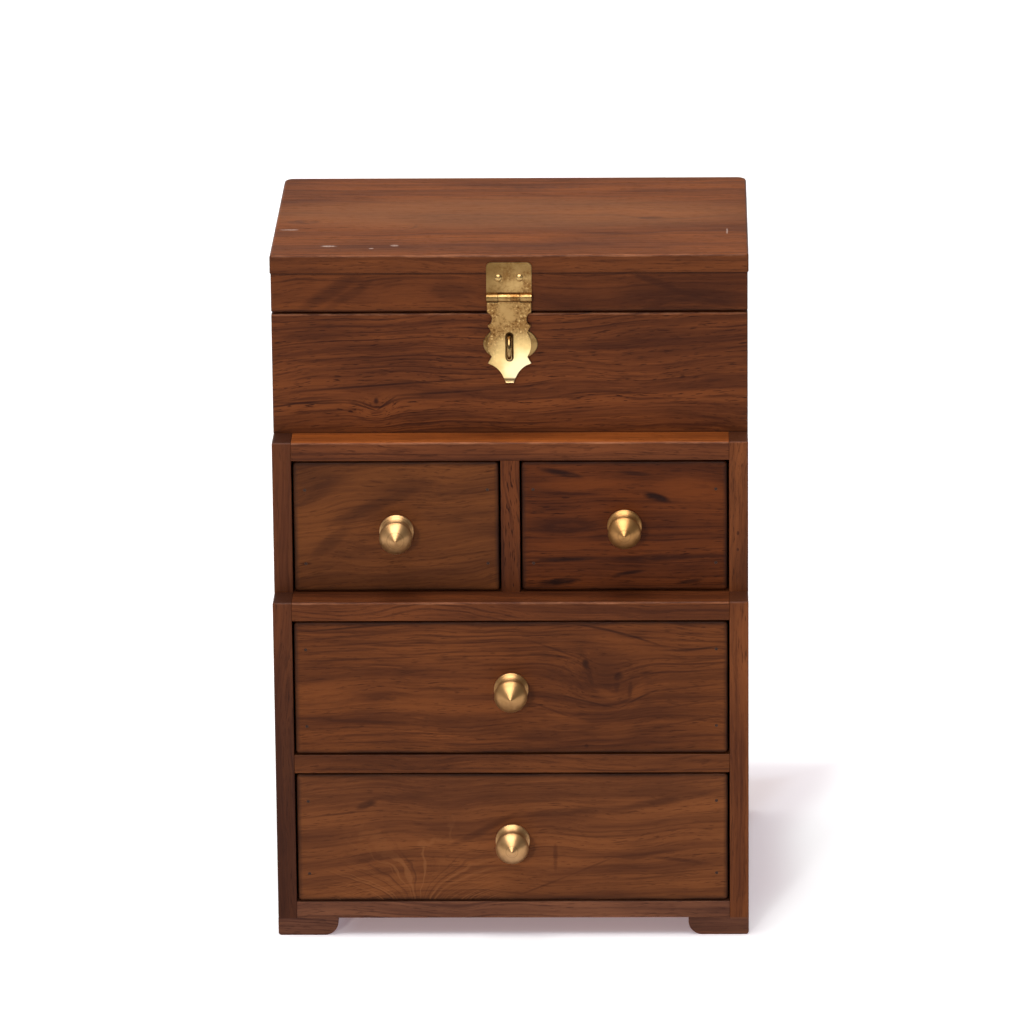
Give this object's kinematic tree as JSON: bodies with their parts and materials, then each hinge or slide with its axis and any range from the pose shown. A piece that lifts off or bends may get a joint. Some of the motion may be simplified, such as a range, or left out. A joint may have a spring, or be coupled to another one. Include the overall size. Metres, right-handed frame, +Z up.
{
  "type": "wooden drawer organizer",
  "caption": "Stepped wooden chest with small and wide drawers below a till, whose flat hinged lid closes with a brass hasp; turned brass knobs, low corner feet.",
  "frame": {"origin": "on the floor, under the middle of the whole chest from knob tips to hinge barrels", "axes": "+Z up, the drawers and hasp face -Y, +X to the right seen from the front"},
  "size_m": [0.251, 0.2304, 0.3631],
  "materials": {
    "case_wood": "oiled, dark red-brown",
    "lid_wood": "oiled, worn lighter",
    "drawer_front_wood": "oiled, strong figure",
    "drawer_inner_wood": "plain planed wood",
    "drawer_panel": "thin plain panel",
    "brass": "turned and sheet brass, lightly tarnished",
    "steel": "dull steel nails and screws"
  },
  "bodies": {
    "case": {"left_side_panel": "case_wood", "right_side_panel": "case_wood", "back_panel": "case_wood", "bottom_board": "case_wood", "drawer_shelf": "case_wood", "lower_ledge_board": "case_wood", "upper_ledge_board": "case_wood", "drawer_divider": "case_wood", "till_front_board": "case_wood", "front_left_foot": "case_wood", "front_right_foot": "case_wood", "rear_left_foot": "case_wood", "rear_right_foot": "case_wood", "case_nails": "steel", "staple_plate": "brass", "staple": "brass", "left_hinge_case_leaf": "brass", "right_hinge_case_leaf": "brass", "hinge_pins": "brass", "case_hinge_screws": "brass"},
    "lid": {"lid_top_board": "lid_wood", "lid_front_rail": "lid_wood", "lid_back_rail": "lid_wood", "lid_left_rail": "lid_wood", "lid_right_rail": "lid_wood", "left_hinge_lid_leaf": "brass", "right_hinge_lid_leaf": "brass", "lid_hinge_screws": "brass", "hasp_plate": "brass", "hasp_pin": "brass", "hasp_nails": "brass"},
    "hasp": {"hasp_strap": "brass"},
    "left_small_drawer": {"left_small_drawer_front": "drawer_front_wood", "left_small_drawer_left_side": "drawer_inner_wood", "left_small_drawer_right_side": "drawer_inner_wood", "left_small_drawer_back": "drawer_inner_wood", "left_small_drawer_bottom": "drawer_panel", "left_small_drawer_knob": "brass", "left_small_drawer_fixings": "steel"},
    "right_small_drawer": {"right_small_drawer_front": "drawer_front_wood", "right_small_drawer_left_side": "drawer_inner_wood", "right_small_drawer_right_side": "drawer_inner_wood", "right_small_drawer_back": "drawer_inner_wood", "right_small_drawer_bottom": "drawer_panel", "right_small_drawer_knob": "brass", "right_small_drawer_fixings": "steel"},
    "upper_wide_drawer": {"upper_wide_drawer_front": "drawer_front_wood", "upper_wide_drawer_left_side": "drawer_inner_wood", "upper_wide_drawer_right_side": "drawer_inner_wood", "upper_wide_drawer_back": "drawer_inner_wood", "upper_wide_drawer_bottom": "drawer_panel", "upper_wide_drawer_knob": "brass", "upper_wide_drawer_fixings": "steel"},
    "lower_wide_drawer": {"lower_wide_drawer_front": "drawer_front_wood", "lower_wide_drawer_left_side": "drawer_inner_wood", "lower_wide_drawer_right_side": "drawer_inner_wood", "lower_wide_drawer_back": "drawer_inner_wood", "lower_wide_drawer_bottom": "drawer_panel", "lower_wide_drawer_knob": "brass", "lower_wide_drawer_fixings": "steel"}
  },
  "joints": [
    {"name": "lid_hinge", "type": "hinge", "parent": "case", "child": "lid", "pos_m": [0, 0.11338, 0.332], "axis": [-1, 0, 0], "range_deg": [0, 100]},
    {"name": "hasp_swing", "type": "hinge", "parent": "lid", "child": "hasp", "pos_m": [0, -0.05843, 0.3404], "axis": [-1, 0, 0], "range_deg": [0, 170]},
    {"name": "left_small_drawer_slide", "type": "slide", "parent": "case", "child": "left_small_drawer", "axis": [0, -1, 0], "range_m": [0, 0.132]},
    {"name": "right_small_drawer_slide", "type": "slide", "parent": "case", "child": "right_small_drawer", "axis": [0, -1, 0], "range_m": [0, 0.132]},
    {"name": "upper_wide_drawer_slide", "type": "slide", "parent": "case", "child": "upper_wide_drawer", "axis": [0, -1, 0], "range_m": [0, 0.147]},
    {"name": "lower_wide_drawer_slide", "type": "slide", "parent": "case", "child": "lower_wide_drawer", "axis": [0, -1, 0], "range_m": [0, 0.147]}
  ]
}
